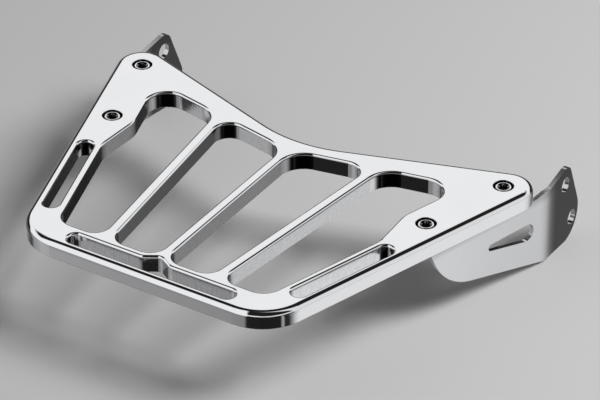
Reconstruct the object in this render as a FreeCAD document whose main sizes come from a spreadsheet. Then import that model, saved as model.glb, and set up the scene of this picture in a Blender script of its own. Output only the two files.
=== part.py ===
import FreeCAD, Part
import math
import os

import Sketcher

# Motorcycle luggage rack: one chromed billet plate with cut-outs, two folded side brackets below it
# that reach forward to the fender struts, four socket screws and four lock nuts.
# Frame: X to the rider's right, Y forward, Z up, with the origin under the middle of the whole rack, at the
# height of the brackets' lowest edge. The sizes count forward from a line a little behind that middle, and
# upwards from a level just above that edge.

doc = FreeCAD.newDocument("luggage_rack")
sheet = doc.addObject("Spreadsheet::Sheet", "Sizes")

# Driving sizes, in millimetres, degrees, or millimetres of sideways run per millimetre forward
sizes = {
    # The plate
    "plate_thickness": 11.5,
    "plate_underside": 49.5,  # height of the plate's underside
    "plate_half_width": 158.7,  # from the centre to a sharp front corner
    "plate_length": 224.3,  # from the sharp front corners back to the rear edge
    "rear_length": 128.2,  # the part of that length behind the line that the sizes count from
    "side_slope": 0.309,  # taper of the plate's side edges
    "front_slope": 0.334,  # forward run of the front edges per millimetre sideways
    "front_corner_radius": 16,
    "rear_corner_radius": 33,
    "front_middle_radius": 88,  # hollow in the middle of the front edge
    "outer_edge_radius": 4,  # rounding of the outer top edge
    "opening_edge_radius": 1.7,  # rounding of the openings' top edges
    "bottom_edge_break": 0.8,  # small bevel along the bottom edges
    # The large openings and the bars between them
    "centre_bar_width": 7,
    "side_bar_width": 7.4,
    "inner_opening_extra": 0.85,  # an inner opening's rear edge is this much longer than an outer one's
    "side_bar_slope": 0.12,
    "front_strip": 9.4,  # metal in front of the openings at the centre, between sharp corners
    "openings_front_slope": 0.2,  # forward run of the openings' front edge per millimetre sideways
    "rear_bar_width": 5.3,  # metal between the openings and the rear slot
    "inner_front_radius": 16.6,
    "inner_corner_radius": 10.6,
    "outer_front_inner_radius": 17,
    "outer_front_radius": 13.4,
    "outer_rear_inner_radius": 9.6,
    "outer_rear_radius": 12.6,
    "slot_web": 5,  # metal between an outer opening and the side slot
    "screw_pad_width": 32.5,  # metal outside an outer opening beside the front screw
    "notch_inset": 33.76,  # wall of the notch from the side edge beside the rear screw, sideways
    "notch_slope": -0.057,
    "notch_radius": 20,
    # The narrow slots
    "side_rim": 6.2,  # metal outside a side slot
    "side_slot_width": 10.2,
    "slot_behind_screw": 37.65,  # from the rear screw back to the centre of the slot's front end
    "slot_before_rear": 35.95,  # from the rear edge forward to the centre of its rear end
    "rear_rim": 6.6,  # metal behind the rear slot
    "rear_slot_width": 10.2,
    "rear_slot_inset": 30.6,  # from a sharp rear corner in to the end of the rear slot
    "rear_slot_end_radius": 4.9,
    "bump_half_width": 9.8,  # half of the forward bump in the rear slot
    "bump_height": 5.9,
    "bump_peak_radius": 4.6,
    "bump_foot_radius": 7.4,
    # The screws and nuts
    "screw_inset": 16.9,  # from the side edge, square to it
    "front_screw_setback": 26.75,  # from the sharp front corners
    "screw_spacing": 60.45,  # between the front and rear screws, along the rack
    "recess_width": 12.4,  # counterbore for a screw head
    "recess_depth": 6.5,
    "recess_bevel": 0.4,
    "screw_diameter": 6,
    "screw_clearance": 0.3,  # round the shank in every hole it passes through
    "screw_length": 16,  # shank below the head
    "head_diameter": 10,
    "head_height": 6,
    "head_bevel": 0.5,
    "socket_width": 5,  # hexagon socket across its flats
    "socket_depth": 3.2,
    "nut_width": 10,  # lock nut across its flats
    "nut_height": 4.4,
    "nut_collar": 8.6,
    "nut_collar_height": 1.6,
    "thread_clearance": 0.15,  # round the shank inside a nut
    # The brackets
    "sheet_thickness": 3,
    "web_angle": 14.7,  # between a bracket web and the centre line
    "web_beyond_screw": 12.7,  # from the front screw out to the web's outer face
    "web_behind_screw": 10.6,  # from the rear screw back to the web's rear end
    "web_corner_ahead": 12.8,  # sharp lower corner ahead of that end
    "web_corner_drop": 28.3,  # sharp lower corner below the plate
    "web_corner_radius": 46,
    "fold_ahead": 23.5,  # start of the fold ahead of the front screw
    "fold_bottom": 1.15,  # height of the lower edge at the fold
    "fold_top_rise": 1.9,  # rise of the top edge above the plate's underside at the fold
    "rise_length": 7.4,  # length over which the top edge rises
    "rise_radius": 12,
    "window_front_inset": 8.8,  # teardrop window behind the fold
    "window_length": 57.4,
    "window_below_plate": 14.9,
    "window_tip_radius": 2.4,
    "window_front_radius": 6,
    "flange_width": 22.5,
    "flange_end_margin": 8.5,  # flange beyond the screws at both ends
    "flange_corner_radius": 8,
    "flange_edge_radius": 1,  # outer edge between web and flange
    "flange_weld_radius": 1.5,  # weld fillet between web and flange
    "fold_angle": 17.7,
    "fold_radius": 26,  # outer radius of the fold
    "tab_low_along": 48.55,  # sharp lower corner of the tab, from the fold
    "tab_low_height": -3.7,
    "tab_low_radius": 17.5,
    "tab_high_along": 24.15,  # sharp upper corner of the tab, from the fold
    "tab_high_rise": 5.5,  # above the plate's underside
    "tab_high_radius": 8,
    "tab_hole": 10.5,
    "upper_hole_along": 19.15,
    "upper_hole_height": 42.4,
    "lower_hole_along": 29.85,
    "lower_hole_height": 12.7,
    # The place of the whole rack in its frame
    "middle_forward": 3.607,  # middle of the whole length, ahead of the line that the sizes count from
    "lowest_drop": 0.876,  # lowest edge of the tabs, below the level that the heights count from
}

# Sizes that follow from the ones above
formulas = {
    "plate_top": "plate_underside + plate_thickness",
    "front_corner_y": "plate_length - rear_length",
    "front_middle_y": "front_corner_y - front_slope * plate_half_width",
    "rear_edge_y": "-rear_length",
    "rear_corner_x": "plate_half_width - side_slope * plate_length",
    "side_x": "plate_half_width - side_slope * front_corner_y",
    "side_stretch": "sqrt(1 + side_slope * side_slope)",
    "bar_stretch": "sqrt(1 + side_bar_slope * side_bar_slope)",
    "front_screw_y": "front_corner_y - front_screw_setback",
    "rear_screw_y": "front_screw_y - screw_spacing",
    "front_screw_x": "side_x + side_slope * front_screw_y - screw_inset * side_stretch",
    "rear_screw_x": "side_x + side_slope * rear_screw_y - screw_inset * side_stretch",
    "slot_axis_x": "side_x - (side_rim + side_slot_width / 2) * side_stretch",
    "side_slot_front_y": "rear_screw_y - slot_behind_screw",
    "side_slot_rear_y": "rear_edge_y + slot_before_rear",
    "long_wall_x": "slot_axis_x - (side_slot_width / 2 + slot_web) * side_stretch",
    "pad_wall_x": "side_x - screw_pad_width * side_stretch",
    "notch_x": "side_x - notch_inset + (side_slope - notch_slope) * rear_screw_y",
    "notch_rear_y": "(notch_x - long_wall_x) / (side_slope - notch_slope)",
    "notch_front_y": "(notch_x - pad_wall_x) / (side_slope - notch_slope)",
    "rear_slot_half_length": "rear_corner_x - rear_slot_inset",
    "rear_slot_rear_y": "rear_edge_y + rear_rim",
    "rear_slot_front_y": "rear_slot_rear_y + rear_slot_width",
    "openings_rear_y": "rear_slot_front_y + rear_bar_width",
    "openings_front_y": "front_middle_y - front_strip",
    "long_wall_rear_x": "long_wall_x + side_slope * openings_rear_y",
    "opening_width": "(long_wall_rear_x - centre_bar_width / 2 - side_bar_width * bar_stretch) / 2",
    "side_bar_rear_x": "centre_bar_width / 2 + opening_width + inner_opening_extra / 2 + "
                       "side_bar_width / 2 * bar_stretch",
    "side_bar_x": "side_bar_rear_x - side_bar_slope * openings_rear_y",
    "inner_bar_x": "side_bar_x - side_bar_width / 2 * bar_stretch",
    "outer_bar_x": "side_bar_x + side_bar_width / 2 * bar_stretch",
    "slope_product": "1 - openings_front_slope * side_bar_slope",
    "front_bar_y": "(openings_front_y + openings_front_slope * inner_bar_x) / slope_product",
    "outer_bar_y": "(openings_front_y + openings_front_slope * outer_bar_x) / slope_product",
    "pad_corner_y": "(openings_front_y + openings_front_slope * pad_wall_x) / "
                    "(1 - openings_front_slope * side_slope)",
    "screw_hole": "screw_diameter + 2 * screw_clearance",
    "nut_bore": "screw_diameter + 2 * thread_clearance",
    "head_seat": "plate_top - recess_depth",
    "nut_seat": "plate_underside - sheet_thickness",
    "front_screw_across": "front_screw_x * cos(web_angle) - front_screw_y * sin(web_angle)",
    "front_screw_along": "front_screw_x * sin(web_angle) + front_screw_y * cos(web_angle)",
    "rear_screw_across": "rear_screw_x * cos(web_angle) - rear_screw_y * sin(web_angle)",
    "rear_screw_along": "rear_screw_x * sin(web_angle) + rear_screw_y * cos(web_angle)",
    "web_across": "front_screw_across + web_beyond_screw",
    "web_rear": "rear_screw_along - web_behind_screw",
    "web_front": "front_screw_along + fold_ahead",
    "web_corner_along": "web_rear + web_corner_ahead",
    "web_corner_height": "plate_underside - web_corner_drop",
    "belly_slope": "(web_corner_height - fold_bottom) / (web_front - web_corner_along)",
    "fold_top": "plate_underside + fold_top_rise",
    "rise_start": "web_front - rise_length",
    "window_top": "plate_underside - window_below_plate",
    "window_front": "web_front - window_front_inset",
    "window_rear": "window_front - window_length",
    "flange_rear": "rear_screw_along - flange_end_margin",
    "flange_front": "front_screw_along + flange_end_margin",
    "tab_across": "web_across - fold_radius * (1 - cos(fold_angle))",
    "tab_along": "web_front + fold_radius * sin(fold_angle)",
    "tab_high_height": "plate_underside + tab_high_rise",
}
cells = list(sizes.items()) + [(name, "=" + text) for name, text in formulas.items()]
for row, (name, content) in enumerate(cells, 1):
    sheet.set("A%d" % row, name.replace("_", " "))
    sheet.set("B%d" % row, str(content))
    sheet.setAlias("B%d" % row, name)
doc.recompute()

half_turn = math.pi


def value(text):
    """Number that a formula in the sheet's sizes gives now."""
    return float(sheet.evalExpression(text.replace("Sizes.", "")))


def plane(body, role):
    """Origin plane of a body."""
    return [feature for feature in body.Origin.OriginFeatures if feature.Role == role][0]


def new_body(label):
    """Body drawn where the sizes count from, then set over the frame's origin."""
    body = doc.addObject("PartDesign::Body", label)
    body.Label = label
    body.setExpression("Placement.Base.y", "-Sizes.middle_forward")
    body.setExpression("Placement.Base.z", "Sizes.lowest_drop")
    return body


def new_sketch(body, name, role="XY_Plane", height=None):
    """Sketch on an origin plane of its body, raised to the height that a formula gives."""
    sketch = body.newObject("Sketcher::SketchObject", name)
    sketch.AttachmentSupport = [(plane(body, role), "")]
    sketch.MapMode = "FlatFace"
    if height is not None:
        sketch.setExpression("AttachmentOffset.Base.z", height)
    return sketch


def hold(sketch, constraint, formula):
    """Adds a sized constraint and lets a formula drive it."""
    index = sketch.addConstraint(constraint)
    sketch.setExpression("Constraints[%d]" % index, formula)


def rounded_outline(sketch, corners):
    """Closed outline through sharp corners (x, y, radius), each rounded by an arc; all three are formulas."""
    count = len(corners)
    spots = [FreeCAD.Vector(value(corner[0]), value(corner[1]), 0) for corner in corners]
    arrive, leave, arcs = [], [], []
    for i in range(count):
        back = (spots[i - 1] - spots[i]).normalize()
        ahead = (spots[(i + 1) % count] - spots[i]).normalize()
        if corners[i][2] is None:
            arrive.append(spots[i])
            leave.append(spots[i])
            arcs.append(None)
            continue
        radius = value(corners[i][2])
        half = back.getAngle(ahead) / 2
        reach = radius / math.tan(half)
        arrive.append(spots[i] + back * reach)
        leave.append(spots[i] + ahead * reach)
        centre = spots[i] + (back + ahead).normalize() * (radius / math.sin(half))
        turns_left = back.cross(ahead).z < 0
        first, last = (arrive[i], leave[i]) if turns_left else (leave[i], arrive[i])
        start = math.atan2(first.y - centre.y, first.x - centre.x)
        end = math.atan2(last.y - centre.y, last.x - centre.x)
        if end < start:
            end += 2 * half_turn
        circle = Part.Circle(centre, FreeCAD.Vector(0, 0, 1), radius)
        arcs.append((sketch.addGeometry(Part.ArcOfCircle(circle, start, end), False), turns_left))
    lines = [sketch.addGeometry(Part.LineSegment(leave[i], arrive[(i + 1) % count]), False)
             for i in range(count)]
    for i in range(count):
        before, after = lines[i - 1], lines[i]
        if arcs[i] is None:
            sketch.addConstraint(Sketcher.Constraint("Coincident", before, 2, after, 1))
            mark, spot = after, 1
        else:
            arc, turns_left = arcs[i]
            first, last = (1, 2) if turns_left else (2, 1)
            sketch.addConstraint(Sketcher.Constraint("Tangent", before, 2, arc, first))
            sketch.addConstraint(Sketcher.Constraint("Tangent", arc, last, after, 1))
            hold(sketch, Sketcher.Constraint("Radius", arc, value(corners[i][2])), corners[i][2])
            mark, spot = sketch.addGeometry(Part.Point(spots[i]), True), 1
            sketch.addConstraint(Sketcher.Constraint("PointOnObject", mark, 1, before))
            sketch.addConstraint(Sketcher.Constraint("PointOnObject", mark, 1, after))
        hold(sketch, Sketcher.Constraint("DistanceX", -1, 1, mark, spot, spots[i].x), corners[i][0])
        hold(sketch, Sketcher.Constraint("DistanceY", -1, 1, mark, spot, spots[i].y), corners[i][1])


def circle(sketch, x, y, diameter):
    """Circle whose centre and diameter follow formulas."""
    centre = FreeCAD.Vector(value(x), value(y), 0)
    ring = sketch.addGeometry(Part.Circle(centre, FreeCAD.Vector(0, 0, 1), value(diameter) / 2), False)
    hold(sketch, Sketcher.Constraint("DistanceX", -1, 1, ring, 3, centre.x), x)
    hold(sketch, Sketcher.Constraint("DistanceY", -1, 1, ring, 3, centre.y), y)
    hold(sketch, Sketcher.Constraint("Diameter", ring, value(diameter)), diameter)


def hexagon(sketch, x, y, width, turn):
    """Hexagon across its flats; the first flat faces the direction that the turn gives in degrees."""
    flats = []
    for k in range(6):
        a = "(%s + %d)" % (turn, 60 * k - 30)
        corner_x = "%s + (%s) / sqrt(3) * cos(%s)" % (x, width, a)
        corner_y = "%s + (%s) / sqrt(3) * sin(%s)" % (y, width, a)
        flats.append((corner_x, corner_y, None))
    rounded_outline(sketch, flats)


def pad(body, name, sketch, length, downward=False):
    feature = body.newObject("PartDesign::Pad", name)
    feature.Profile = sketch
    feature.setExpression("Length", length)
    feature.Reversed = downward
    sketch.Visibility = False
    doc.recompute()
    return feature


def pocket(body, name, sketch, depth=None, upward=False):
    """Cut to a depth, or right through both ways where no depth is given."""
    feature = body.newObject("PartDesign::Pocket", name)
    feature.Profile = sketch
    if depth is None:
        feature.Type = "ThroughAll"
        feature.SideType = "Symmetric"
    else:
        feature.setExpression("Length", depth)
        feature.Reversed = upward
    sketch.Visibility = False
    doc.recompute()
    return feature


def edge_names(feature, wanted):
    """Names of the edges of a feature that a test accepts."""
    return ["Edge%d" % (k + 1) for k, edge in enumerate(feature.Shape.Edges) if wanted(edge)]


def dress(body, kind, name, feature, names, amount):
    """Fillet or chamfer on the named edges of the last feature."""
    dressing = body.newObject("PartDesign::" + kind, name)
    dressing.Base = (feature, names)
    dressing.setExpression("Radius" if kind == "Fillet" else "Size", amount)
    doc.recompute()
    return dressing


def mirrored_both(x):
    """The same sideways place on the right and on the left."""
    return [x, "-(%s)" % x]


# The plate: a trapezoid with a hollow front edge, drawn in plan
plate = new_body("rack_plate")
plate.setExpression("Placement.Base.z", "Sizes.plate_underside + Sizes.lowest_drop")
outline = new_sketch(plate, "plate_outline")
rounded_outline(outline, [
    ("-Sizes.rear_corner_x", "Sizes.rear_edge_y", "Sizes.rear_corner_radius"),
    ("Sizes.rear_corner_x", "Sizes.rear_edge_y", "Sizes.rear_corner_radius"),
    ("Sizes.plate_half_width", "Sizes.front_corner_y", "Sizes.front_corner_radius"),
    ("0", "Sizes.front_middle_y", "Sizes.front_middle_radius"),
    ("-Sizes.plate_half_width", "Sizes.front_corner_y", "Sizes.front_corner_radius"),
])
blank = pad(plate, "plate_blank", outline, "Sizes.plate_thickness")

# The inner opening lies between the centre bar and the side bar
inner = new_sketch(plate, "inner_opening")
rear_y = "Sizes.openings_rear_y"
rounded_outline(inner, [
    ("Sizes.centre_bar_width / 2", rear_y, "Sizes.inner_corner_radius"),
    ("Sizes.inner_bar_x + Sizes.side_bar_slope * " + rear_y, rear_y, "Sizes.inner_corner_radius"),
    ("Sizes.inner_bar_x + Sizes.side_bar_slope * Sizes.front_bar_y", "Sizes.front_bar_y",
     "Sizes.inner_corner_radius"),
    ("Sizes.centre_bar_width / 2",
     "Sizes.openings_front_y + Sizes.openings_front_slope * Sizes.centre_bar_width / 2",
     "Sizes.inner_front_radius"),
])
inner_cut = pocket(plate, "inner_opening_cut", inner)

# The outer opening steps inwards at its front, which leaves a pad of metal for the screws
outer = new_sketch(plate, "outer_opening")
rounded_outline(outer, [
    ("Sizes.outer_bar_x + Sizes.side_bar_slope * " + rear_y, rear_y, "Sizes.outer_rear_inner_radius"),
    ("Sizes.long_wall_x + Sizes.side_slope * " + rear_y, rear_y, "Sizes.outer_rear_radius"),
    ("Sizes.notch_x + Sizes.notch_slope * Sizes.notch_rear_y", "Sizes.notch_rear_y", "Sizes.notch_radius"),
    ("Sizes.notch_x + Sizes.notch_slope * Sizes.notch_front_y", "Sizes.notch_front_y", "Sizes.notch_radius"),
    ("Sizes.pad_wall_x + Sizes.side_slope * Sizes.pad_corner_y", "Sizes.pad_corner_y",
     "Sizes.outer_front_radius"),
    ("Sizes.outer_bar_x + Sizes.side_bar_slope * Sizes.outer_bar_y", "Sizes.outer_bar_y",
     "Sizes.outer_front_inner_radius"),
])
outer_cut = pocket(plate, "outer_opening_cut", outer)

# The side slot runs beside the edge, with a thin rim outside it and round ends
side = new_sketch(plate, "side_slot")
ends = [FreeCAD.Vector(value("slot_axis_x + side_slope * " + y), value(y), 0)
        for y in ("side_slot_front_y", "side_slot_rear_y")]
radius = value("side_slot_width / 2")
lean = math.atan(value("side_slope"))
offset = FreeCAD.Vector(math.cos(lean), -math.sin(lean), 0) * radius
up = FreeCAD.Vector(0, 0, 1)
front_arc = side.addGeometry(Part.ArcOfCircle(Part.Circle(ends[0], up, radius), -lean, half_turn - lean), False)
rear_arc = side.addGeometry(
    Part.ArcOfCircle(Part.Circle(ends[1], up, radius), half_turn - lean, 2 * half_turn - lean), False)
inner_wall = side.addGeometry(Part.LineSegment(ends[0] - offset, ends[1] - offset), False)
outer_wall = side.addGeometry(Part.LineSegment(ends[1] + offset, ends[0] + offset), False)
side.addConstraint(Sketcher.Constraint("Tangent", front_arc, 2, inner_wall, 1))
side.addConstraint(Sketcher.Constraint("Tangent", inner_wall, 2, rear_arc, 1))
side.addConstraint(Sketcher.Constraint("Tangent", rear_arc, 2, outer_wall, 1))
side.addConstraint(Sketcher.Constraint("Tangent", outer_wall, 2, front_arc, 1))
for arc, place, y in ((front_arc, ends[0], "Sizes.side_slot_front_y"),
                      (rear_arc, ends[1], "Sizes.side_slot_rear_y")):
    hold(side, Sketcher.Constraint("DistanceX", -1, 1, arc, 3, place.x),
         "Sizes.slot_axis_x + Sizes.side_slope * " + y)
    hold(side, Sketcher.Constraint("DistanceY", -1, 1, arc, 3, place.y), y)
hold(side, Sketcher.Constraint("Radius", front_arc, radius), "Sizes.side_slot_width / 2")
side_cut = pocket(plate, "side_slot_cut", side)

# The same three cuts on the left
both_sides = plate.newObject("PartDesign::Mirrored", "left_cuts")
both_sides.Originals = [inner_cut, outer_cut, side_cut]
both_sides.MirrorPlane = (plane(plate, "YZ_Plane"), [""])
plate.Tip = both_sides
doc.recompute()

# The rear slot swells forward in its middle, towards the root of the centre bar
rear = new_sketch(plate, "rear_slot")
end_radius = "Sizes.rear_slot_end_radius"
front_y = "Sizes.rear_slot_front_y"
rounded_outline(rear, [
    ("-Sizes.rear_slot_half_length", "Sizes.rear_slot_rear_y", end_radius),
    ("Sizes.rear_slot_half_length", "Sizes.rear_slot_rear_y", end_radius),
    ("Sizes.rear_slot_half_length", front_y, end_radius),
    ("Sizes.bump_half_width", front_y, "Sizes.bump_foot_radius"),
    ("0", front_y + " + Sizes.bump_height", "Sizes.bump_peak_radius"),
    ("-Sizes.bump_half_width", front_y, "Sizes.bump_foot_radius"),
    ("-Sizes.rear_slot_half_length", front_y, end_radius),
])
rear_cut = pocket(plate, "rear_slot_cut", rear)


def loops(feature, height, outermost):
    """Names of the edges round a level face: its outer loop, or the loops of its openings."""
    level = [face for face in feature.Shape.Faces
             if face.BoundBox.ZLength < 0.001 and abs(face.BoundBox.ZMin - height) < 0.001]
    face = max(level, key=lambda item: item.Area)
    chosen = [edge for wire in face.Wires if wire.isSame(face.OuterWire) == outermost for edge in wire.Edges]
    return edge_names(feature, lambda edge: any(edge.isSame(other) for other in chosen))


# The outer top edge is rolled over deeply, the openings' edges gently, and the bottom edges are bevelled
thickness = value("plate_thickness")
rolled = dress(plate, "Fillet", "outer_rounding", rear_cut, loops(rear_cut, thickness, True),
               "Sizes.outer_edge_radius")
softened = dress(plate, "Fillet", "opening_rounding", rolled, loops(rolled, thickness, False),
                 "Sizes.opening_edge_radius")
under = dress(plate, "Chamfer", "bottom_bevel", softened,
              loops(softened, 0, True) + loops(softened, 0, False), "Sizes.bottom_edge_break")

# Four counterbored screw holes
screw_places = [(x, "Sizes.%s_screw_y" % end) for end in ("front", "rear")
                for x in mirrored_both("Sizes.%s_screw_x" % end)]
recess = new_sketch(plate, "screw_recesses", height="Sizes.plate_thickness")
for x, y in screw_places:
    circle(recess, x, y, "Sizes.recess_width")
recess_cut = pocket(plate, "screw_recess_cut", recess, "Sizes.recess_depth")
holes = new_sketch(plate, "screw_holes")
for x, y in screw_places:
    circle(holes, x, y, "Sizes.screw_hole")
hole_cut = pocket(plate, "screw_hole_cut", holes)
mouth = value("recess_width") / 2
mouths = edge_names(hole_cut, lambda edge: edge.BoundBox.ZLength < 0.001
                    and abs(edge.BoundBox.ZMin - thickness) < 0.001
                    and abs(edge.BoundBox.XLength - 2 * mouth) < 0.01)
dress(plate, "Chamfer", "recess_bevel_cut", hole_cut, mouths, "Sizes.recess_bevel")

# A folded bracket, in a frame of its own: X square to the web and outwards, Y along the web, Z up
bracket = new_body("right_bracket")
bracket.Placement = FreeCAD.Placement(FreeCAD.Vector(0, 0, 0), FreeCAD.Rotation(FreeCAD.Vector(0, 0, -1), 10))
bracket.setExpression("Placement.Rotation.Angle", "Sizes.web_angle")

# The web: a slanted rear end that rounds into a lower edge falling forwards, and a top that rises at the fold
web = new_sketch(bracket, "web_outline", "YZ_Plane", "Sizes.web_across")
underside = "Sizes.plate_underside"
rounded_outline(web, [
    ("Sizes.web_rear", underside, None),
    ("Sizes.web_corner_along", "Sizes.web_corner_height", "Sizes.web_corner_radius"),
    ("Sizes.web_front", "Sizes.fold_bottom", None),
    ("Sizes.web_front", "Sizes.fold_top", None),
    ("Sizes.rise_start", underside, "Sizes.rise_radius"),
])
web_pad = pad(bracket, "web_sheet", web, "Sizes.sheet_thickness", True)

# The teardrop window: its top is level and its lower edge runs with the web's lower edge
window = new_sketch(bracket, "window_outline", "YZ_Plane", "Sizes.web_across")
rounded_outline(window, [
    ("Sizes.window_rear", "Sizes.window_top", "Sizes.window_tip_radius"),
    ("Sizes.window_front", "Sizes.window_top - (Sizes.window_front - Sizes.window_rear) * Sizes.belly_slope",
     "Sizes.window_front_radius"),
    ("Sizes.window_front", "Sizes.window_top", "Sizes.window_front_radius"),
])
window_cut = pocket(bracket, "window_cut", window)

# The fold between web and tab, a sector of a ring in plan
fold = new_sketch(bracket, "fold_plan", height="Sizes.fold_bottom")
fold_radius = value("fold_radius")
sheet_thickness = value("sheet_thickness")
fold_turn = math.radians(value("fold_angle"))
pivot = FreeCAD.Vector(value("web_across - fold_radius"), value("web_front"), 0)
outer_arc = fold.addGeometry(Part.ArcOfCircle(Part.Circle(pivot, up, fold_radius), 0, fold_turn), False)
inner_arc = fold.addGeometry(
    Part.ArcOfCircle(Part.Circle(pivot, up, fold_radius - sheet_thickness), 0, fold_turn), False)
far = FreeCAD.Vector(math.cos(fold_turn), math.sin(fold_turn), 0)
near_side = fold.addGeometry(Part.LineSegment(
    pivot + FreeCAD.Vector(fold_radius - sheet_thickness, 0, 0), pivot + FreeCAD.Vector(fold_radius, 0, 0)), False)
far_side = fold.addGeometry(Part.LineSegment(
    pivot + far * fold_radius, pivot + far * (fold_radius - sheet_thickness)), False)
fold.addConstraint(Sketcher.Constraint("Coincident", near_side, 2, outer_arc, 1))
fold.addConstraint(Sketcher.Constraint("Coincident", outer_arc, 2, far_side, 1))
fold.addConstraint(Sketcher.Constraint("Coincident", far_side, 2, inner_arc, 2))
fold.addConstraint(Sketcher.Constraint("Coincident", inner_arc, 1, near_side, 1))
fold.addConstraint(Sketcher.Constraint("Coincident", inner_arc, 3, outer_arc, 3))
fold.addConstraint(Sketcher.Constraint("Horizontal", near_side))
hold(fold, Sketcher.Constraint("DistanceX", -1, 1, outer_arc, 3, pivot.x), "Sizes.web_across - Sizes.fold_radius")
hold(fold, Sketcher.Constraint("DistanceY", -1, 1, outer_arc, 3, pivot.y), "Sizes.web_front")
hold(fold, Sketcher.Constraint("Radius", outer_arc, fold_radius), "Sizes.fold_radius")
hold(fold, Sketcher.Constraint("Radius", inner_arc, fold_radius - sheet_thickness),
     "Sizes.fold_radius - Sizes.sheet_thickness")
hold(fold, Sketcher.Constraint("DistanceX", outer_arc, 3, outer_arc, 2, fold_radius * math.cos(fold_turn)),
     "Sizes.fold_radius * cos(Sizes.fold_angle)")
hold(fold, Sketcher.Constraint("DistanceX", inner_arc, 3, inner_arc, 2,
                               (fold_radius - sheet_thickness) * math.cos(fold_turn)),
     "(Sizes.fold_radius - Sizes.sheet_thickness) * cos(Sizes.fold_angle)")
fold_pad = pad(bracket, "fold_sheet", fold, "Sizes.fold_top - Sizes.fold_bottom")


def on_tab(sketch):
    """Turns a sketch from the web's side plane onto the outer face of the tab."""
    sketch.AttachmentOffset = FreeCAD.Placement(
        FreeCAD.Vector(0, 0, 0), FreeCAD.Rotation(FreeCAD.Vector(0, 1, 0), 10))
    sketch.setExpression("AttachmentOffset.Base.x", "Sizes.tab_along")
    sketch.setExpression("AttachmentOffset.Base.z", "Sizes.tab_across")
    sketch.setExpression("AttachmentOffset.Rotation.Angle", "Sizes.fold_angle")


# The tab: a slanted front edge with two round corners and two bolt holes
tab = new_sketch(bracket, "tab_outline", "YZ_Plane")
on_tab(tab)
rounded_outline(tab, [
    ("0", "Sizes.fold_bottom", None),
    ("Sizes.tab_low_along", "Sizes.tab_low_height", "Sizes.tab_low_radius"),
    ("Sizes.tab_high_along", "Sizes.tab_high_height", "Sizes.tab_high_radius"),
    ("0", "Sizes.fold_top", None),
])
tab_pad = pad(bracket, "tab_sheet", tab, "Sizes.sheet_thickness", True)
bolt_holes = new_sketch(bracket, "tab_holes", "YZ_Plane")
on_tab(bolt_holes)
circle(bolt_holes, "Sizes.upper_hole_along", "Sizes.upper_hole_height", "Sizes.tab_hole")
circle(bolt_holes, "Sizes.lower_hole_along", "Sizes.lower_hole_height", "Sizes.tab_hole")
bolt_hole_cut = pocket(bracket, "tab_hole_cut", bolt_holes, "Sizes.sheet_thickness")

# The flange is welded inside the web, lies under the plate and takes the screws
flange = new_sketch(bracket, "flange_plan", height=underside)
rounded_outline(flange, [
    ("Sizes.web_across - Sizes.flange_width", "Sizes.flange_rear", "Sizes.flange_corner_radius"),
    ("Sizes.web_across", "Sizes.flange_rear", None),
    ("Sizes.web_across", "Sizes.flange_front", None),
    ("Sizes.web_across - Sizes.flange_width", "Sizes.flange_front", "Sizes.flange_corner_radius"),
])
flange_pad = pad(bracket, "flange_sheet", flange, "Sizes.sheet_thickness", True)
screw_gaps = new_sketch(bracket, "flange_holes", height=underside)
circle(screw_gaps, "Sizes.front_screw_across", "Sizes.front_screw_along", "Sizes.screw_hole")
circle(screw_gaps, "Sizes.rear_screw_across", "Sizes.rear_screw_along", "Sizes.screw_hole")
gap_cut = pocket(bracket, "flange_hole_cut", screw_gaps, "Sizes.sheet_thickness")


def along_web(across, height):
    """Test for the straight edges that run along the web at one place in its section."""
    def test(edge):
        box = edge.BoundBox
        return (abs(box.XMin - across) < 0.001 and abs(box.XMax - across) < 0.001
                and abs(box.ZMin - height) < 0.001 and abs(box.ZMax - height) < 0.001)
    return test


outer_edge = dress(bracket, "Fillet", "outer_edge", gap_cut,
                   edge_names(gap_cut, along_web(value("web_across"), value("plate_underside"))),
                   "Sizes.flange_edge_radius")
dress(bracket, "Fillet", "flange_weld", outer_edge,
      edge_names(outer_edge, along_web(value("web_across - sheet_thickness"), value("nut_seat"))),
      "Sizes.flange_weld_radius")

# The left bracket is the right one mirrored about the centre plane
left = doc.addObject("Part::Mirroring", "left_bracket")
left.Source = bracket
left.Base = (0, 0, 0)
left.Normal = (1, 0, 0)
left.Label = "left_bracket"
doc.recompute()

# Four socket screws: head, shank and hexagon socket
screws = new_body("plate_screws")
screws.AllowCompound = True
heads = new_sketch(screws, "screw_heads", height="Sizes.head_seat")
for x, y in screw_places:
    circle(heads, x, y, "Sizes.head_diameter")
head_pad = pad(screws, "heads", heads, "Sizes.head_height")
shanks = new_sketch(screws, "screw_shanks", height="Sizes.head_seat")
for x, y in screw_places:
    circle(shanks, x, y, "Sizes.screw_diameter")
shank_pad = pad(screws, "shanks", shanks, "Sizes.screw_length", True)
sockets = new_sketch(screws, "screw_sockets", height="Sizes.head_seat + Sizes.head_height")
for x, y in screw_places:
    hexagon(sockets, x, y, "Sizes.socket_width", "0")
socket_cut = pocket(screws, "socket_cut", sockets, "Sizes.socket_depth")
head_top = value("head_seat + head_height")
rims = edge_names(socket_cut, lambda edge: abs(edge.BoundBox.ZMin - head_top) < 0.001
                  and edge.BoundBox.ZLength < 0.001
                  and abs(edge.BoundBox.XLength - value("head_diameter")) < 0.01)
dress(screws, "Chamfer", "head_bevel_cut", socket_cut, rims, "Sizes.head_bevel")

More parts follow.
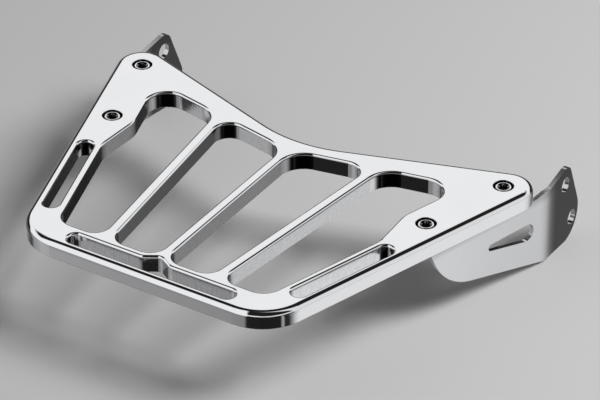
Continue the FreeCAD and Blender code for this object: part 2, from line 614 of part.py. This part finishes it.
# Four lock nuts under the flanges, each with two flats along the web
nuts = new_body("lock_nuts")
nuts.AllowCompound = True
bodies = new_sketch(nuts, "nut_hexagons", height="Sizes.nut_seat")
for number, (x, y) in enumerate(screw_places):
    turn = "-Sizes.web_angle" if number % 2 == 0 else "Sizes.web_angle"
    hexagon(bodies, x, y, "Sizes.nut_width", turn)
nut_pad = pad(nuts, "nut_bodies", bodies, "Sizes.nut_height", True)
collars = new_sketch(nuts, "nut_collars", height="Sizes.nut_seat - Sizes.nut_height")
for x, y in screw_places:
    circle(collars, x, y, "Sizes.nut_collar")
collar_pad = pad(nuts, "nut_collar_rings", collars, "Sizes.nut_collar_height", True)
bores = new_sketch(nuts, "nut_bores", height="Sizes.nut_seat")
for x, y in screw_places:
    circle(bores, x, y, "Sizes.nut_bore")
pocket(nuts, "nut_bore_cut", bores)

doc.recompute()

# Checks, then one file for each part
for item in doc.Objects:
    if "Invalid" in item.State or "Error" in item.State:
        raise RuntimeError("%s is %s" % (item.Name, item.State))
os.makedirs("parts", exist_ok=True)
for part in (plate, bracket, left, screws, nuts):
    shape = part.Shape
    if shape.isNull() or not shape.isValid():
        raise RuntimeError("%s has no valid shape" % part.Label)
    print(part.Label, "solids", len(shape.Solids), "volume", round(shape.Volume), shape.BoundBox)
    shape.exportStep("parts/%s.step" % part.Label)
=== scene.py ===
# %% [markdown]
# # Chromed luggage rack for a motorcycle
# The rack is one thick plate with cut-outs, carried by two folded side brackets. The solid model gives every
# shape its true size. This lesson puts the rack in a small studio, gives each part its finish, and adds the
# fine pieces that a solid model leaves out. We start by loading the solid model, which stays where it is.

# %% Load the solid model
import math

import bmesh
import bpy
import numpy as np
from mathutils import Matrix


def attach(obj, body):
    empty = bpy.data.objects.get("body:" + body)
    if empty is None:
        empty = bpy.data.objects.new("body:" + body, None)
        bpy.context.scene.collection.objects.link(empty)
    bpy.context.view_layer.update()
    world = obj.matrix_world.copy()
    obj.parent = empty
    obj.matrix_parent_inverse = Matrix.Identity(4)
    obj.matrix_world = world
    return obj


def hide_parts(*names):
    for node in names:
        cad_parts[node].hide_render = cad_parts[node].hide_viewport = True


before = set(bpy.data.objects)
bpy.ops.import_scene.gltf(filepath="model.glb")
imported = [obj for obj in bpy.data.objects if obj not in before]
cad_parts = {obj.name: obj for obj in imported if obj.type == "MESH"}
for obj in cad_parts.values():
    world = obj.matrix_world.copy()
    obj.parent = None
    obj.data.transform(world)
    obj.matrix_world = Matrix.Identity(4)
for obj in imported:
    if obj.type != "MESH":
        bpy.data.objects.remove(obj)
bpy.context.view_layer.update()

nodes = {name: bpy.data.objects[name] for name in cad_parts}
print("nodes:", sorted(nodes))

# %% [markdown]
# ## Camera
# The photograph was taken from a good distance with a long lens, so the rack's parallel edges stay nearly
# parallel. A camera could be placed by eye, but here its place is worked out from the rack's own corners:
# it stands behind the rack and to its right, and looks forward and down at about 33 degrees.

# %% Camera
turn_left = math.radians(32.35)
look_down = math.radians(33.26)
lens_camera = bpy.data.cameras.new("lens")
lens_camera.sensor_width = 36.0
lens_camera.lens = 230.73
camera = bpy.data.objects.new("camera", lens_camera)
camera.location = (1.0759, -1.65421, 1.33558)
camera.rotation_euler = (math.pi / 2 - look_down, 0.0, turn_left)
bpy.context.collection.objects.link(camera)
bpy.context.scene.camera = camera
print("camera distance in metres:", round(camera.location.length, 3))

# %% [markdown]
# ## Studio
# Chrome has next to no colour of its own: what we see in it is the room. A bright room alone makes it look
# like white paint, so a studio keeps some of it dark. We could stand real cards round the rack, but a room
# that depends on direction alone is simpler and hides nothing. Its upper half is white, with a black card
# high up in front of the rack, a dark backdrop low down in front and a dark corner where the camera stands.
# A white band low in that corner keeps the flat top bright when it is seen from low on the opposite side. The
# top mirrors the white between card and backdrop, the near edges bend past the card and draw a black line,
# and the far edges bend down to the backdrop and draw a thin one. The lower half is what upright walls see: a
# table that is light on the right, grey on the left, and black towards the camera and straight ahead.

# %% Shader helpers
def node(tree, kind, **values):
    """Adds a shader node, sets its plain attributes, and returns it."""
    made = tree.nodes.new(kind)
    for name, item in values.items():
        setattr(made, name, item)
    return made


def feed(tree, socket, source):
    """Puts a number, a colour or another node's output into a socket."""
    if isinstance(source, bpy.types.NodeSocket):
        tree.links.new(source, socket)
    elif isinstance(source, tuple) and len(source) == 3 and len(socket.default_value) == 4:
        socket.default_value = (*source, 1)
    else:
        socket.default_value = source


def sums(tree, operation, first, second=0.0, third=0.0):
    """One step of arithmetic on numbers or outputs."""
    step = node(tree, "ShaderNodeMath", operation=operation)
    for socket, source in zip(step.inputs, (first, second, third)):
        feed(tree, socket, source)
    return step.outputs[0]


def product(tree, first, *others):
    """All the given numbers or outputs multiplied."""
    for other in others:
        first = sums(tree, "MULTIPLY", first, other)
    return first


def rest(tree, share):
    """What a share leaves of 1."""
    return sums(tree, "SUBTRACT", 1.0, share)


def greys(tree, position, points):
    """Grey ramp through (place, grey) pairs."""
    ramp = node(tree, "ShaderNodeValToRGB")
    elements = ramp.color_ramp.elements
    elements.remove(elements[-1])
    for number, (place, grey) in enumerate(points):
        spot = elements[0] if number == 0 else elements.new(place)
        spot.position = place
        spot.color = (grey, grey, grey, 1)
    feed(tree, ramp.inputs["Fac"], position)
    return ramp.outputs["Color"]


def swell(tree, number, low, high):
    """Smooth rise from 0 at low to 1 at high."""
    step = node(tree, "ShaderNodeMapRange", interpolation_type="SMOOTHSTEP")
    feed(tree, step.inputs["Value"], number)
    step.inputs["From Min"].default_value = low
    step.inputs["From Max"].default_value = high
    return step.outputs["Result"]


print("shader helpers ready")

# %% Sky, the upper half
# Each pair says where a change starts and where it ends. Heights are sines of the angle above the floor.
card_height, card_side = (0.61, 0.70), (0.06, 0.17)
backdrop_side, backdrop_edge, backdrop_height = (0.35, 0.65), (-0.03, 0.05), 0.38
corner_rear, corner_side = (-0.12, -0.02), (-0.27, -0.21)
band_bottom, band_top = (0.12, 0.17), (0.44, 0.39)
near_right, far_right = (0.0, 0.4), (0.2, 0.6)
darkest = 0.015

world = bpy.data.worlds.new("studio")
bpy.context.scene.world = world
world.use_nodes = True
tree = world.node_tree
tree.nodes.clear()
way = node(tree, "ShaderNodeSeparateXYZ")
feed(tree, way.inputs[0], node(tree, "ShaderNodeTexCoord").outputs["Generated"])
height = way.outputs["Z"]


def toward(right, forward):
    """How far a direction points that way: right times X plus forward times Y."""
    sideways = sums(tree, "MULTIPLY", way.outputs["X"], right)
    return sums(tree, "MULTIPLY_ADD", way.outputs["Y"], forward, sideways)


high_card = product(tree, swell(tree, height, *card_height), swell(tree, toward(-0.4675, 0.884), *card_side))
on_right = sums(tree, "MULTIPLY_ADD", swell(tree, way.outputs["X"], *near_right), 0.028, -0.02)
ahead = swell(tree, toward(-0.535, 0.845), *backdrop_side)
backdrop_top = sums(tree, "MULTIPLY_ADD", ahead, backdrop_height, on_right)
above_backdrop = swell(tree, sums(tree, "SUBTRACT", height, backdrop_top), *backdrop_edge)
low_band = product(tree, swell(tree, height, *band_bottom), swell(tree, height, *band_top))
behind = swell(tree, toward(0.0, -1.0), *corner_rear)
dark_corner = product(tree, behind, swell(tree, toward(0.961, 0.276), *corner_side), rest(tree, low_band))
white = product(tree, rest(tree, high_card), above_backdrop, rest(tree, dark_corner))
right_dim = sums(tree, "MULTIPLY_ADD", swell(tree, way.outputs["X"], *far_right), -0.16, 1.0)
upper = sums(tree, "MULTIPLY_ADD", product(tree, white, right_dim), 1.0 - darkest, darkest)
print("upper half of the room:", len(tree.nodes), "nodes")

# %% Sky, the lower half
camera_turn = 57.7 / 360  # the camera stands this part of a turn clockwise from the right
table = [  # degrees anticlockwise from the right, brightness of the table in that direction
    (-180, 0.10), (-172, 0.32), (-160, 0.36), (-148, 0.45), (-128, 0.42), (-125, 0.32), (-122.4, 0.28),
    (-96, 0.25), (-91, 0.02), (-82, 0.015), (-21, 0.015), (-16, 0.45), (-11, 0.02), (-2, 0.03), (8, 0.40),
    (17, 0.86), (27, 0.88), (40, 0.80), (56, 0.57), (62, 0.46), (68, 0.38), (76, 0.22), (84, 0.03),
    (89.6, 0.015), (91.2, 0.11), (105, 0.12), (120, 0.08), (144, 0.35), (172, 0.05), (180, 0.10),
]
compass = sums(tree, "DIVIDE", sums(tree, "ARCTAN2", way.outputs["Y"], way.outputs["X"]), 2 * math.pi)
from_camera = sums(tree, "ADD", compass, camera_turn)
opened = product(tree, from_camera, sums(tree, "MULTIPLY_ADD", height, 0.2, 1.11))
lower = greys(tree, sums(tree, "ADD", opened, 0.5 - camera_turn),
              [(angle / 360 + 0.5, grey) for angle, grey in table])
print("directions on the table:", len(table))

# %% Sky, as each kind of ray sees it
half = node(tree, "ShaderNodeMix")
feed(tree, half.inputs[0], swell(tree, height, -0.03, 0.0))
feed(tree, half.inputs[2], lower)
feed(tree, half.inputs[3], upper)
skies = {
    "soft": (0.13, 0.13, 0.13),
    "mirror": half.outputs[0],
    "plain": (0.93, 0.93, 0.93),
}
lit = {}
for name, colour in skies.items():
    lit[name] = node(tree, "ShaderNodeBackground")
    feed(tree, lit[name].inputs["Color"], colour)
path = node(tree, "ShaderNodeLightPath")
seen = sums(tree, "MAXIMUM", path.outputs["Is Camera Ray"], path.outputs["Is Transmission Ray"])
pick = lit["soft"].outputs[0]
for choice, name in ((path.outputs["Is Glossy Ray"], "mirror"), (seen, "plain")):
    step = node(tree, "ShaderNodeMixShader")
    feed(tree, step.inputs["Fac"], choice)
    tree.links.new(pick, step.inputs[1])
    tree.links.new(lit[name].outputs[0], step.inputs[2])
    pick = step.outputs[0]
tree.links.new(pick, node(tree, "ShaderNodeOutputWorld").inputs[0])
print("skies:", sorted(lit))

# %% [markdown]
# ## Floor and lamps
# The floor is a wide sheet of pale paper. Two soft lamps light it: the key stands on the right, in front of
# the rack, so that the shadow falls under the plate and to its left. The chrome mirrors the room's own lower
# half instead of the paper, because pale paper all round would wash its walls out.

# %% Floor and lamps
reach, paper_grey = 6.0, 0.70
corners = [(-reach, -reach, 0), (reach, -reach, 0), (reach, reach, 0), (-reach, reach, 0)]
floor_mesh = bpy.data.meshes.new("floor")
floor_mesh.from_pydata(corners, [], [(0, 1, 2, 3)])
floor = bpy.data.objects.new("floor", floor_mesh)
bpy.context.collection.objects.link(floor)
paper = bpy.data.materials.new("pale_paper")
paper.use_nodes = True
paper_look = paper.node_tree.nodes["Principled BSDF"]
paper_look.inputs["Base Color"].default_value = (paper_grey, paper_grey, paper_grey, 1)
paper_look.inputs["Roughness"].default_value = 0.9
floor_mesh.materials.append(paper)
floor.visible_glossy = False

# Each lamp: its place, its power in watts and the width of its square
lamps = {"key": ((1.3, 0.65, 1.6), 38.0, 1.0), "fill": ((-1.2, -0.8, 1.4), 2.0, 1.2)}
for name, (place, power, width) in lamps.items():
    lamp = bpy.data.lights.new(name, "AREA")
    lamp.energy = power
    lamp.size = width
    holder = bpy.data.objects.new(name, lamp)
    holder.location = place
    aim = -np.array(place) / np.linalg.norm(place)
    holder.rotation_euler = (math.acos(-aim[2]), 0, math.atan2(aim[0], -aim[1]) + math.pi)
    holder.visible_glossy = False
    holder.visible_camera = False
    bpy.context.collection.objects.link(holder)
print("studio ready")

# %% [markdown]
# ## Chrome
# Polished chrome is a mirror with faults: a faint haze left by the buffing wheel, a slight waviness of the
# metal beneath, and buffing lines along the rack. We could paint these on an image, but here they come from
# noise in the piece's own coordinates, so that they hold at any distance. A finish may also carry painted
# shade: a factor that darkens its tint where shade or a dark reflection is painted into the colour.

# %% Chrome material
buffing_lines = (900.0, 45.0, 45.0)  # how tightly noise is packed along each axis
cutter_marks = (1100.0, 1100.0, 60.0)
cloud_scale, blotch_scale = 38.0, 420.0


def scaled(tree, colour, number):
    """Colour times a number."""
    step = node(tree, "ShaderNodeVectorMath", operation="SCALE")
    feed(tree, step.inputs[0], colour)
    feed(tree, step.inputs["Scale"], number)
    return step.outputs[0]


def noise(tree, spot, scale, stretch=(1.0, 1.0, 1.0), detail=2.0):
    """Soft noise from 0 to 1, stretched along the axes."""
    wide = node(tree, "ShaderNodeMapping")
    wide.inputs["Scale"].default_value = stretch
    feed(tree, wide.inputs["Vector"], spot)
    made = node(tree, "ShaderNodeTexNoise")
    made.inputs["Scale"].default_value = scale
    made.inputs["Detail"].default_value = detail
    feed(tree, made.inputs["Vector"], wide.outputs[0])
    return made.outputs["Fac"]


def chrome(name, tint, haze=0.035, wave=0.00002, painted_shade=None, cut=None, satin=0.06):
    """Mirror metal. Its roughness is a haze that follows soft noise and buffing lines, and its bump a slow
    waviness. A function given for the painted shade returns a factor that darkens the tint with painted shade
    and painted reflection; cut(tree) gives how far a face is left as cut, which scores it upright and
    roughens it by satin and by a blotchy noise."""
    material = bpy.data.materials.new(name)
    material.use_nodes = True
    tree = material.node_tree
    look = tree.nodes["Principled BSDF"]
    look.inputs["Metallic"].default_value = 1.0
    spot = node(tree, "ShaderNodeTexCoord").outputs["Object"]
    cloud = noise(tree, spot, cloud_scale, detail=4.0)
    factor = sums(tree, "MULTIPLY_ADD", cloud, 0.06, 0.97)
    rough = sums(tree, "MULTIPLY_ADD", cloud, haze, haze * 0.4)
    buffing = noise(tree, spot, 1.0, buffing_lines)
    rough = sums(tree, "MULTIPLY_ADD", buffing, haze * 0.5, rough)
    relief = product(tree, cloud, wave * 1000)
    if painted_shade:
        factor = product(tree, factor, painted_shade(tree))
    if cut:
        milled = cut(tree)
        scores = noise(tree, spot, 1.0, cutter_marks, 3.0)
        blotch = noise(tree, spot, blotch_scale)
        stain = product(tree, milled, sums(tree, "MULTIPLY_ADD", blotch, -0.26, 0.20))
        factor = product(tree, factor, rest(tree, stain))
        rough = sums(tree, "MULTIPLY_ADD", milled, sums(tree, "MULTIPLY_ADD", blotch, 0.08, satin), rough)
        relief = sums(tree, "MULTIPLY_ADD", milled, product(tree, scores, 0.05), relief)
    feed(tree, look.inputs["Base Color"], scaled(tree, tint, factor))
    feed(tree, look.inputs["Roughness"], rough)
    bump = node(tree, "ShaderNodeBump")
    bump.inputs["Strength"].default_value = 1.0
    bump.inputs["Distance"].default_value = 0.001
    feed(tree, bump.inputs["Height"], relief)
    feed(tree, look.inputs["Normal"], bump.outputs[0])
    return material


print("chrome ready")

# %% [markdown]
# ## The plate's milled walls
# The outside of the plate is polished all round, but the walls of its openings are only plated over the
# cutter's marks, so they are hazier and finely scored upright. The shade of the bars beside them and the dark
# that they mirror are painted into their colour: the side walls are painted darker towards the left of the
# rack, the front walls dark on its right, and the walls of the screw recesses near black. A mask could be
# painted on, but the distance to the plate's three edges gives it exactly.

# %% Where the plate is milled
screw_centres = ((0.13275, 0.065743), (0.11407, 0.005293))
side_edge = (0.309, 0.13012)  # slope and start of the line that the edge follows
front_edge = (0.334, 0.039483)
rear_edge = 0.131807
rim_end = (0.0038, 0.005)  # depth from the edge at which the polished rim ends
recess_wall = (0.0063, 0.0067)  # just outside a screw recess
rack_width = 0.3


def places(tree):
    """Outputs for a point's place on the rack and for the direction that its face points in."""
    place = node(tree, "ShaderNodeTexCoord")
    spot = node(tree, "ShaderNodeSeparateXYZ")
    face = node(tree, "ShaderNodeSeparateXYZ")
    feed(tree, spot.inputs[0], place.outputs["Object"])
    feed(tree, face.inputs[0], place.outputs["Normal"])
    return spot.outputs, face.outputs


def upright(tree, face):
    """1 on upright walls, 0 on level faces."""
    return rest(tree, swell(tree, sums(tree, "ABSOLUTE", face["Z"]), 0.2, 0.75))


def milled_walls(tree):
    """Upright walls further in than the rolled edge: the least of the distances from the side edge, the rear
    edge and the front edge is over 4 mm."""
    spot, face = places(tree)
    aside = sums(tree, "ABSOLUTE", spot["X"])
    from_side = sums(tree, "SUBTRACT", sums(tree, "MULTIPLY_ADD", spot["Y"], *side_edge), aside)
    from_rear = sums(tree, "ADD", spot["Y"], rear_edge)
    from_front = sums(tree, "SUBTRACT", sums(tree, "MULTIPLY_ADD", aside, *front_edge), spot["Y"])
    depth = sums(tree, "MINIMUM", sums(tree, "MINIMUM", from_side, from_rear), from_front)
    return product(tree, swell(tree, depth, *rim_end), upright(tree, face))


def painted_wall_shade(tree):
    """Painted shade and painted reflection on the milled walls, as a factor for the tint: light on the right
    of the rack and dark on its left for walls that face sideways. Walls that face the rear are light on the
    left and near black on the right, and the walls of the screw recesses are painted near black."""
    spot, face = places(tree)
    aside = sums(tree, "ABSOLUTE", spot["X"])
    # Painted shade and painted reflection, set by place across the rack and by which way the wall faces.
    sideways = swell(tree, sums(tree, "ABSOLUTE", face["X"]), 0.85, 0.97)
    painted_shade_by_place = greys(tree, sums(tree, "MULTIPLY_ADD", spot["X"], 1 / rack_width, 0.5), [
        (0.0, 0.5), (0.14, 0.5), (0.22, 0.12), (0.30, 0.14), (0.50, 0.40), (0.70, 0.96), (1.0, 1.0)])
    right_front = product(tree, swell(tree, face["X"], 0.10, 0.20), swell(tree, spot["Y"], -0.09, -0.06))
    both = node(tree, "ShaderNodeMix")
    feed(tree, both.inputs[0], sideways)
    feed(tree, both.inputs[2], sums(tree, "MULTIPLY_ADD", right_front, -0.93, 1.0))
    feed(tree, both.inputs[3], painted_shade_by_place)
    painted_shade = rest(tree, product(tree, milled_walls(tree), rest(tree, both.outputs[0])))
    # Painted shade: the walls of the screw recesses are darkened to near black.
    for x, y in screw_centres:
        east = sums(tree, "SUBTRACT", aside, x)
        north = sums(tree, "SUBTRACT", spot["Y"], y)
        far = sums(tree, "SQRT", sums(tree, "MULTIPLY_ADD", east, east, product(tree, north, north)))
        outside = swell(tree, far, *recess_wall)
        painted_shade = product(tree, painted_shade, sums(tree, "MULTIPLY_ADD", outside, 0.94, 0.06))
    return painted_shade


# The plate's tint carries painted shade and painted reflection on its milled walls and in its recesses.
plate_chrome = chrome("plate_chrome", (0.81, 0.815, 0.83), painted_shade=painted_wall_shade, cut=milled_walls)
print("plate finish has", len(plate_chrome.node_tree.nodes), "nodes")

# %% [markdown]
# ## The brackets' painted shade
# The webs are flat and bright. Past the fold the tabs are painted a darker grey, a painted reflection, and
# the change is soft, because the fold is a wide curve. The sheet's cut edges are dressed but less polished:
# they stay bright and a little satin, so the painted grey is kept to the sheet's two large faces. Close under
# the plate the web's shade is painted on too.

# %% Bracket material
def painted_tab_shade(tree):
    """Painted shade and painted reflection as a factor for the tint: falls from 1 to a dark grey across the
    fold, from 81 mm to 101 mm ahead of the middle. It also falls a little along the web towards the fold, and
    over the last few millimetres below the plate, where the plate's shade is painted on."""
    spot, face = places(tree)
    large_faces = swell(tree, sums(tree, "ABSOLUTE", face["X"]), 0.85, 0.95)
    past_fold = rest(tree, product(tree, swell(tree, spot["Y"], 0.081, 0.101), large_faces, 0.91))
    shade = sums(tree, "MULTIPLY_ADD", swell(tree, spot["Z"], 0.0445, 0.0505), -0.28, 1.0)
    forward = sums(tree, "MULTIPLY_ADD", swell(tree, spot["Y"], -0.03, 0.085), -0.10, 0.86)
    return product(tree, past_fold, shade, forward)


def sheet_edges(tree):
    """0 on the sheet's two large faces, a quarter on its cut edges and in its holes, and 1 on the top edge
    beside the plate, which the polishing wheel can't reach."""
    spot, face = places(tree)
    edge = swell(tree, sums(tree, "ABSOLUTE", face["X"]), 0.85, 0.5)
    beside_plate = product(tree, swell(tree, spot["Z"], 0.047, 0.050), swell(tree, spot["Y"], 0.094, 0.086))
    return product(tree, edge, sums(tree, "MULTIPLY_ADD", beside_plate, 0.75, 0.25))


# The brackets' tint carries the painted shade of the tabs and of the web under the plate.
bracket_chrome = chrome("bracket_chrome", (0.82, 0.825, 0.84), haze=0.06, wave=0.00004, painted_shade=painted_tab_shade,
                        cut=sheet_edges, satin=0.34)
print("bracket finish has", len(bracket_chrome.node_tree.nodes), "nodes")

# %% [markdown]
# ## Brackets with dressed edges
# A sheet-metal edge is never a knife edge: it is dressed and buffed before it is plated, and that small
# rounding is what catches the light. The solid model leaves the bracket's edges sharp. We take a copy of its
# mesh, join the loose triangles into whole faces again, and let a Bevel modifier roll every sharp edge.

# %% Dressed copies of the brackets
edge_rounding = 0.00035


def dressed(name, piece_name, width):
    """Copy of a solid-model piece with its coplanar triangles joined and its sharp edges rounded."""
    mesh = bmesh.new()
    mesh.from_mesh(nodes[name].data)
    bmesh.ops.remove_doubles(mesh, verts=mesh.verts, dist=2e-6)
    bmesh.ops.dissolve_limit(mesh, angle_limit=math.radians(0.6), verts=mesh.verts, edges=mesh.edges)
    made = bpy.data.meshes.new(piece_name)
    mesh.to_mesh(made)
    mesh.free()
    if "custom_normal" in made.attributes:
        made.attributes.remove(made.attributes["custom_normal"])
    piece = bpy.data.objects.new(piece_name, made)
    bpy.context.collection.objects.link(piece)
    made.shade_smooth()
    roll = piece.modifiers.new("dressed_edge", "BEVEL")
    roll.width = width
    roll.segments = 3
    roll.limit_method = "ANGLE"
    roll.angle_limit = math.radians(30)
    roll.harden_normals = True
    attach(piece, "root")
    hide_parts(name)
    return piece


for side in ("right", "left"):
    piece = dressed(side + "_bracket", side + "_bracket_dressed", edge_rounding)
    piece.data.materials.clear()
    piece.data.materials.append(bracket_chrome)
    print(piece.name, "faces:", len(piece.data.polygons))

# %% [markdown]
# ## Socket screws
# Each screw is a turned part: a head with a rounded rim and a knurled side, a hexagon socket with a small
# cone at its mouth and a drilled point at its bottom, and a rolled thread. A lathe makes it from one profile,
# and so do we: every row of the profile is a height and a distance from the axis, carried round in one step.
# In the socket's rows the distance follows a hexagon, and in the thread's rows it rises and falls with height
# and turn together.

# %% Helpers for turned pieces
def turned(name, rows, places, closed=False):
    """Joins rings of points into one closed skin and repeats it at several places. rows is (heights, radii),
    each an array of rows by columns. An open profile ends in a point on the axis at both ends; a closed one
    joins its last ring to its first."""
    heights, radii = rows
    ring_count, columns = radii.shape
    turn = np.linspace(0, 2 * np.pi, columns, endpoint=False)
    grid = np.stack([radii * np.cos(turn), radii * np.sin(turn), heights], axis=-1).reshape(-1, 3)
    first, second = np.meshgrid(np.arange(ring_count if closed else ring_count - 1), np.arange(columns),
                                indexing="ij")
    here = first * columns
    after = (first + 1) % ring_count * columns
    onward = (second + 1) % columns
    quads = np.stack([here + second, here + onward, after + onward, after + second], axis=-1).reshape(-1, 4)
    fans = np.zeros((0, 3), int)
    if not closed:
        ends = np.array([[0, 0, heights[0].mean()], [0, 0, heights[-1].mean()]])
        grid = np.concatenate([grid, ends])
        low, high = len(grid) - 2, len(grid) - 1
        step = np.arange(columns)
        beyond = (step + 1) % columns
        last = (ring_count - 1) * columns
        fans = np.concatenate([np.stack([np.full(columns, low), beyond, step], axis=-1),
                               np.stack([np.full(columns, high), last + step, last + beyond], axis=-1)])
    points = np.concatenate([grid + np.array([x, y, 0.0]) for x, y in places])
    shift = np.arange(len(places))[:, None, None] * len(grid)
    all_quads = (quads[None] + shift).reshape(-1, 4)
    all_fans = (fans[None] + shift).reshape(-1, 3)
    made = bpy.data.meshes.new(name)
    made.from_pydata(points, [], all_quads.tolist() + all_fans.tolist())
    mesh = bmesh.new()
    mesh.from_mesh(made)
    if mesh.calc_volume(signed=True) < 0:
        bmesh.ops.reverse_faces(mesh, faces=mesh.faces)
    mesh.to_mesh(made)
    mesh.free()
    made.shade_smooth()
    made.set_sharp_from_angle(angle=math.radians(32))
    piece = bpy.data.objects.new(name, made)
    bpy.context.collection.objects.link(piece)
    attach(piece, "root")
    print(name, "triangles:", 2 * len(all_quads) + len(all_fans))
    return piece


def tag(piece, name, numbers, times):
    """Stores one number per point, the same for every repeat, for the material to read."""
    layer = piece.data.attributes.new(name, "FLOAT", "POINT")
    layer.data.foreach_set("value", np.tile(numbers, times).astype(np.float32))


def hexagon(turn, across, lean=0.0):
    """Distance from the axis to a hexagon's side: half the width over the cosine of the angle from the
    middle of the nearest side."""
    return across / 2 / np.cos((turn - lean + np.pi / 6) % (np.pi / 3) - np.pi / 6)


# %% Screws
top = 0.061376
columns = 96
turn = np.linspace(0, 2 * np.pi, columns, endpoint=False)
ones = np.ones(columns)
shank, head, mouth, socket = 0.0030, 0.0050, 0.0038, 0.005  # radii, and the socket's width across its flats
flat = hexagon(turn, socket)
knurls, knurl_depth = 48, 0.0001
# The third number of each row is painted shade and painted reflection: near black in the socket and on the
# knurled side down in the recess, darker down the rounded rim, and grey below the head.
profile = [  # height below the top, distance from the axis, tone
    (-0.0047, 0.0004 * ones, 0.05), (-0.0036, 0.0021 * ones, 0.15), (-0.0033, flat * 0.97, 0.10),
    (-0.0031, flat, 0.10), (-0.0010, flat, 0.35), (-(mouth - flat) * 0.55, flat, 0.25),
    (-0.00004, mouth * ones, 0.20), (0.0, (mouth + 0.0001) * ones, 1.0), (0.0, 0.0044 * ones, 1.0),
]
rim = np.linspace(0, np.pi / 2, 7)
rim_radius = 0.0005
profile += [(-rim_radius * (1 - math.cos(a)), (head - rim_radius * (1 - math.sin(a))) * ones,
             1.0 - 0.6 * min(1, a)) for a in rim]
side = head - knurl_depth / 2 * (1 + np.cos(knurls * turn))
profile += [(-0.0008, side, 0.05), (-0.0055, side, 0.05), (-0.0060, 0.0049 * ones, 0.3),
            (-0.0060, 0.0034 * ones, 0.3), (-0.0062, shank * ones, 0.5), (-0.0100, shank * ones, 0.5)]
pitch, start, tip = 0.001, 0.0105, 0.0220
groove, bevelled = 0.00058, 0.00235  # depth of the thread, and radius of the bevelled end
steps = np.arange(start, tip, pitch / 7)
phase = (steps[:, None] / pitch + turn[None] / (2 * np.pi)) % 1.0
flank = np.clip(2.4 * np.abs(phase - 0.5) - 0.15, 0, 1)
threads = shank - groove * flank * np.clip((steps - start) / pitch, 0, 1)[:, None]
bevel = bevelled + (shank - bevelled) * np.clip((tip - steps) / 0.0009, 0, 1)[:, None]
threads = np.minimum(threads, bevel)
profile += [(-depth, ring, 0.7) for depth, ring in zip(steps, threads)]
profile += [(-tip, 0.0022 * ones, 0.7), (-tip, 0.0005 * ones, 0.7)]
heights = np.stack([np.broadcast_to(top + depth, columns) for depth, ring, painted_shade in profile])
radii = np.stack([ring for depth, ring, painted_shade in profile])
spots = [(hand * x, y) for x, y in screw_centres for hand in (1, -1)]
screws = turned("socket_screws", (heights, radii), spots)
painted_shades = np.repeat([painted_shade for depth, ring, painted_shade in profile], columns)
tag(screws, "painted_shade", np.append(painted_shades, [0.05, 0.7]), len(spots))


def stored_painted_shade(tree):
    """The painted shade that the piece carries at each point."""
    return node(tree, "ShaderNodeAttribute", attribute_name="painted_shade").outputs["Fac"]


# The screws' tint is darkened by the painted shade stored on their points.
screw_chrome = chrome("screw_chrome", (0.84, 0.84, 0.85), haze=0.05, painted_shade=stored_painted_shade)
screws.data.materials.append(screw_chrome)
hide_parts("plate_screws")

# %% [markdown]
# ## Lock nuts
# Under the flanges sit four lock nuts. A nut is a hexagon whose corners are turned off by a cone at both
# faces, with a round collar that grips a nylon ring. Its skin is a closed loop of rings: up the outside, over
# the top, down the bore and out across the nylon. The nylon is marked by a number that the material reads.

# %% Nuts
seat = 0.047376
deep = np.linspace(0, 0.0007, 8)
lean_of_flats = math.radians(14.7)
nut_width, nut_height = 0.010, 0.0044
cone_start, cone_slope = 0.00478, 1.6  # radius at the face, and how fast the cone opens below it
collar_radius, bore_radius = 0.0043, 0.00305


def nut_rows(lean):
    """Rings of a nut that hangs below its seat: (depth, radius, nylon)."""
    sides = hexagon(turn, nut_width, lean)
    cone = [(d, np.minimum(sides, cone_start + d * cone_slope), 0.0) for d in deep]
    base = [(nut_height - d, radii, 0.0) for d, radii, nylon in cone[::-1]]
    bend = np.linspace(0, np.pi / 2, 6)
    collar = [(nut_height, collar_radius * ones, 0.0), (0.0052, collar_radius * ones, 0.0)]
    collar += [(0.0052 + 0.0008 * math.sin(a), (0.0036 + 0.0007 * math.cos(a)) * ones, 0.0) for a in bend]
    nylon = [(0.0058, 0.0035 * ones, 1.0), (0.0058, 0.0032 * ones, 1.0), (0.0048, 0.0031 * ones, 1.0)]
    bore = [(0.0046, bore_radius * ones, 0.0), (0.0002, bore_radius * ones, 0.0), (0.0, 0.0033 * ones, 0.0)]
    return cone + base + collar + nylon + bore


nuts_made = []
for hand, word in ((1, "right"), (-1, "left")):
    rows = nut_rows(-hand * lean_of_flats)
    heights = np.stack([np.broadcast_to(seat - depth, columns) for depth, ring, nylon in rows])
    radii = np.stack([ring for depth, ring, nylon in rows])
    spots = [(hand * x, y) for x, y in screw_centres]
    piece = turned("lock_nuts_" + word, (heights, radii), spots, closed=True)
    tag(piece, "nylon", np.repeat([nylon for depth, ring, nylon in rows], columns), len(spots))
    nuts_made.append(piece)

zinc = chrome("nut_zinc", (0.62, 0.62, 0.60), haze=0.35, wave=0.00006)
tree = zinc.node_tree
look = tree.nodes["Principled BSDF"]
nylon = node(tree, "ShaderNodeAttribute", attribute_name="nylon").outputs["Fac"]
feed(tree, look.inputs["Metallic"], sums(tree, "SUBTRACT", 1.0, nylon))
for piece in nuts_made:
    piece.data.materials.append(zinc)
    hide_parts("lock_nuts")

# %% Finish the solid model's own pieces
for holder in nodes["rack_plate"].material_slots:
    holder.material = plate_chrome
print("plate slots given their finish:", len(nodes["rack_plate"].material_slots))

# %% The end
bpy.context.scene.view_settings.view_transform = "Standard"
